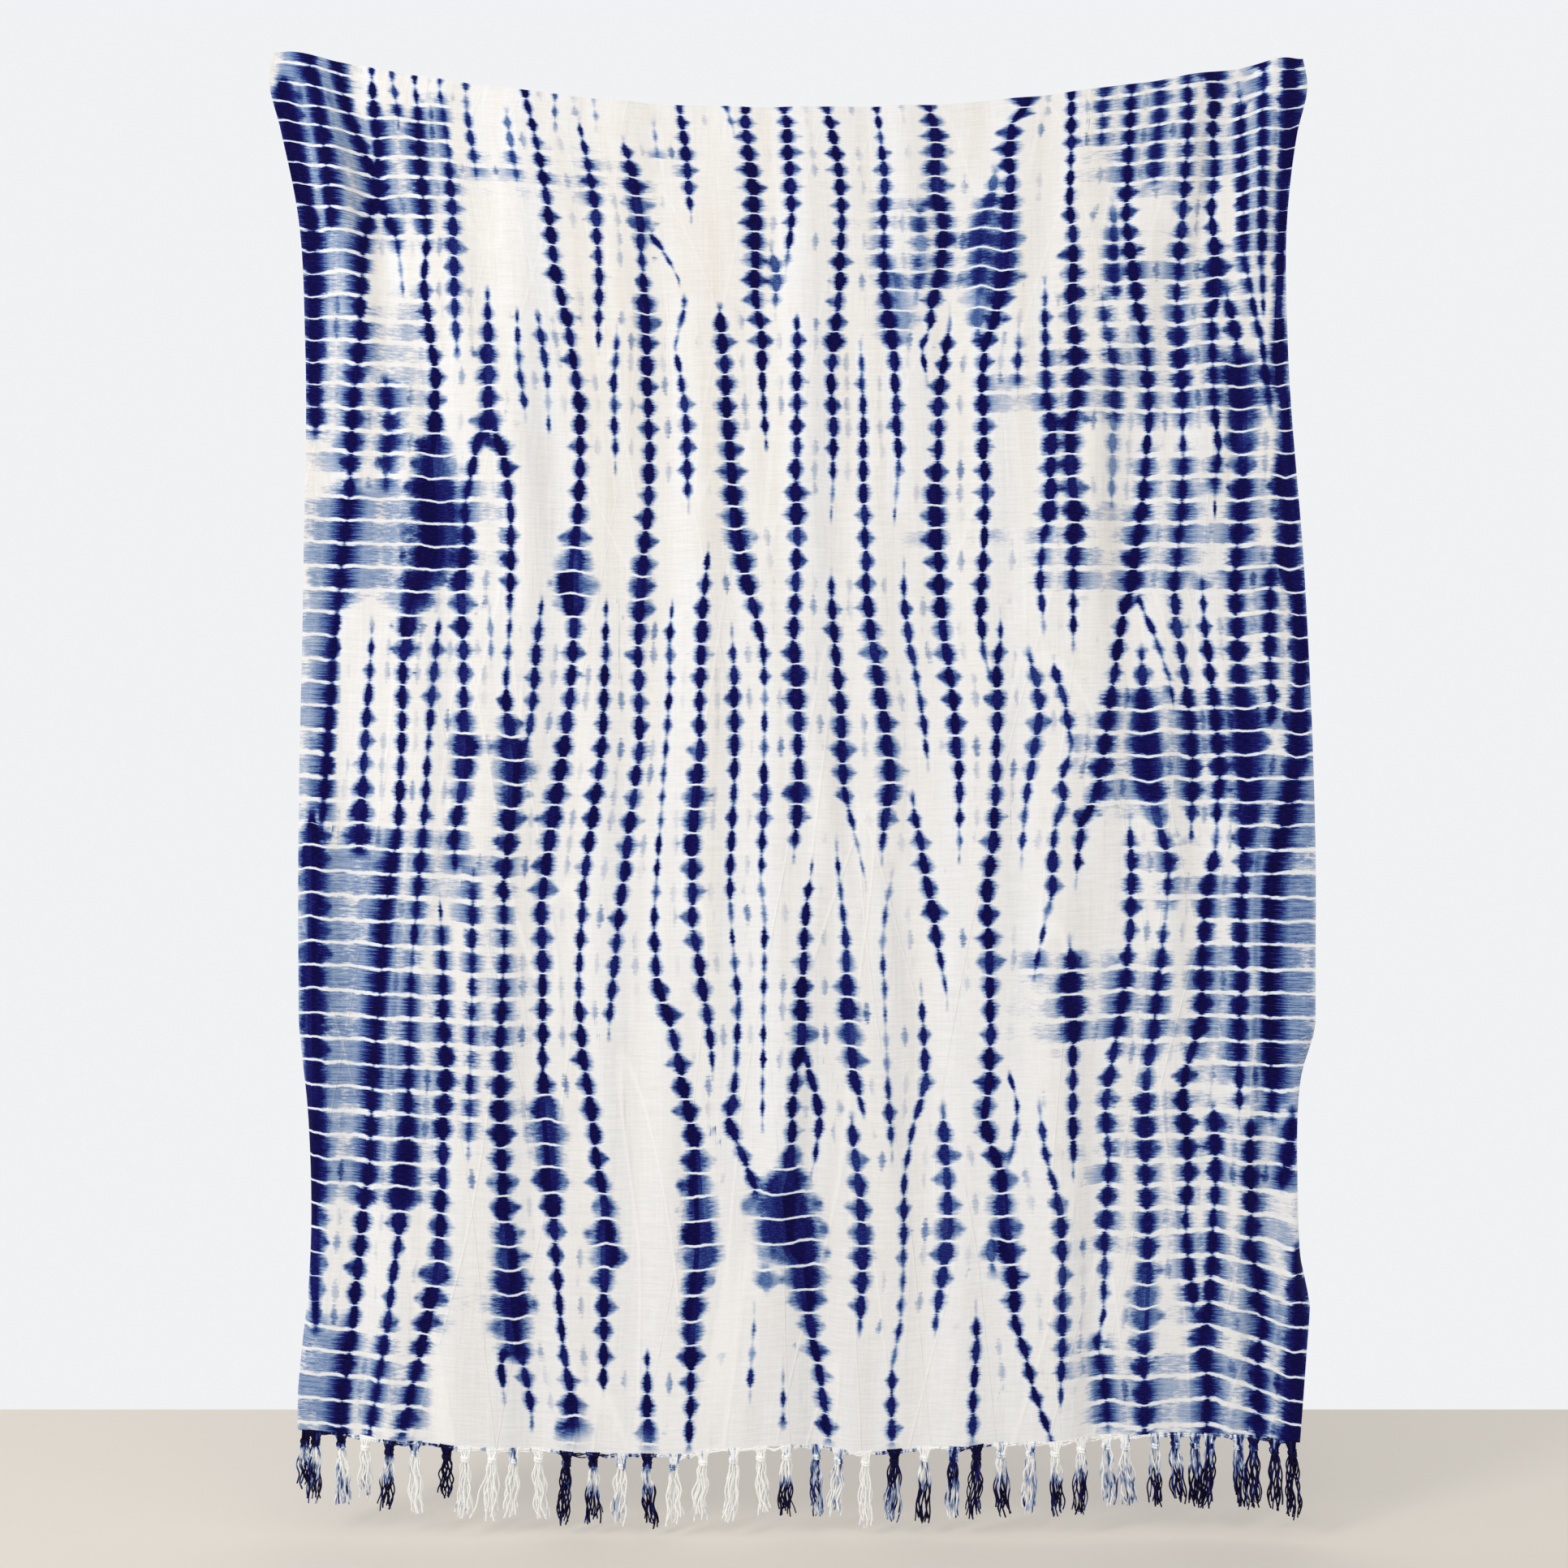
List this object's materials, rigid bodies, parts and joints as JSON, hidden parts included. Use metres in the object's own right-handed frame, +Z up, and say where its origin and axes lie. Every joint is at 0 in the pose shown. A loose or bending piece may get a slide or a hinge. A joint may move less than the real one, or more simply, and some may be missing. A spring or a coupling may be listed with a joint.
{
  "type": "shibori dyed throw hung by its top edge",
  "caption": "Thin woven throw hanging from its two top corners, top edge sagging between them, with soft folds and a knotted fringe along the hem.",
  "frame": {"origin": "lowest point of the sagging top edge, in the middle of the throw", "axes": "+Z up along the warp, +X along the top edge to the viewer's right, -Y towards the viewer of the cloth's face"},
  "size_m": [1.3013, 0.0372, 1.842],
  "materials": {
    "gauze": "undyed and indigo resist-dyed plain weave cotton gauze",
    "fringe": "knotted warp ends of the same cotton, partly dyed"
  },
  "bodies": {
    "root": {"cloth": "gauze", "fringe": "fringe"}
  },
  "joints": []
}
